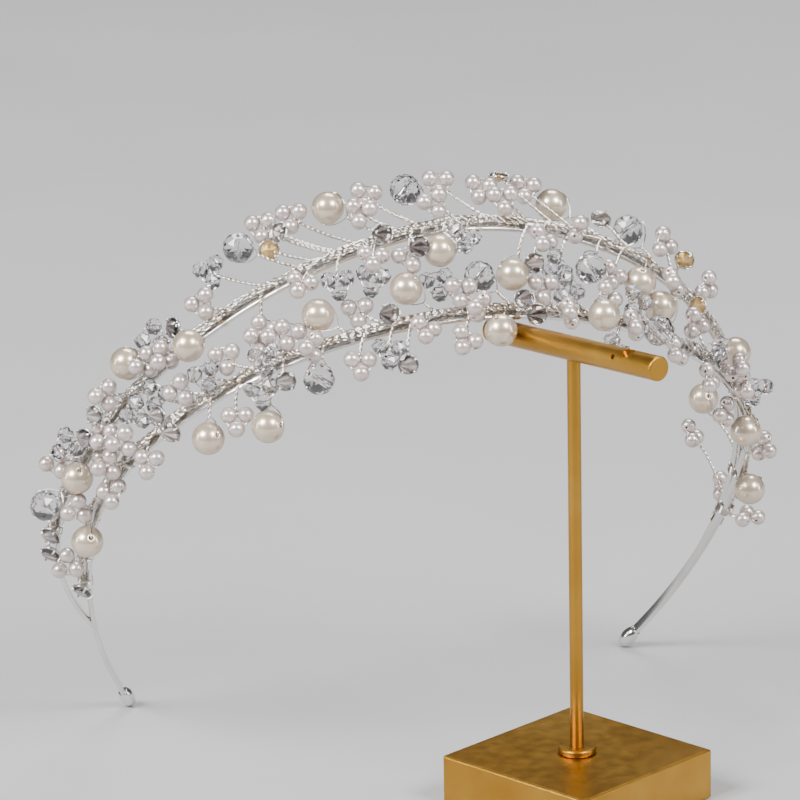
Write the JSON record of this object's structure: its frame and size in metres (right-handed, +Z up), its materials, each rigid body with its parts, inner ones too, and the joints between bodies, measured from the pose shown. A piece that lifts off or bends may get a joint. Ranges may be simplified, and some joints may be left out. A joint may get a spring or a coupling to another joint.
{
  "type": "pearl headband on display stand",
  "caption": "Double-row bridal hair hoop with wired pearls, faceted crystals and set stones, resting on a small gold T-bar display stand.",
  "frame": {"origin": "centre of the stand base's underside, below the post, on the table", "axes": "+Z up, +X from one ear end to the other, the headband leans towards -Y, the wearer's face side"},
  "size_m": [0.1966, 0.1373, 0.1515],
  "materials": {
    "gold": "satin gold plating with fine brushing",
    "silver": "polished silver-plated strip",
    "silver_wire": "twisted silver-plated wire",
    "pearl": "cream pearl lustre",
    "crystal": "clear cut crystal"
  },
  "bodies": {
    "root": {"stand_base": "gold", "foot_flange": "gold", "stand_post": "gold", "rest_bar": "gold", "silver_hoop": "silver", "end_cap_left": "silver", "end_cap_right": "silver", "front_vine": "silver_wire", "back_vine": "silver_wire", "pearl_01": "pearl", "pearl_02": "pearl", "pearl_03": "pearl", "pearl_04": "pearl", "pearl_05": "pearl", "pearl_06": "pearl", "pearl_07": "pearl", "pearl_08": "pearl", "pearl_09": "pearl", "pearl_10": "pearl", "pearl_11": "pearl", "pearl_12": "pearl", "pearl_13": "pearl", "pearl_14": "pearl", "pearl_15": "pearl", "pearl_16": "pearl", "pearl_17": "pearl", "pearl_18": "pearl", "pearl_19": "pearl", "pearl_20": "pearl", "crystal_01": "crystal", "crystal_02": "crystal", "crystal_03": "crystal", "crystal_04": "crystal", "crystal_05": "crystal", "crystal_06": "crystal", "crystal_07": "crystal", "crystal_08": "crystal"}
  },
  "joints": []
}
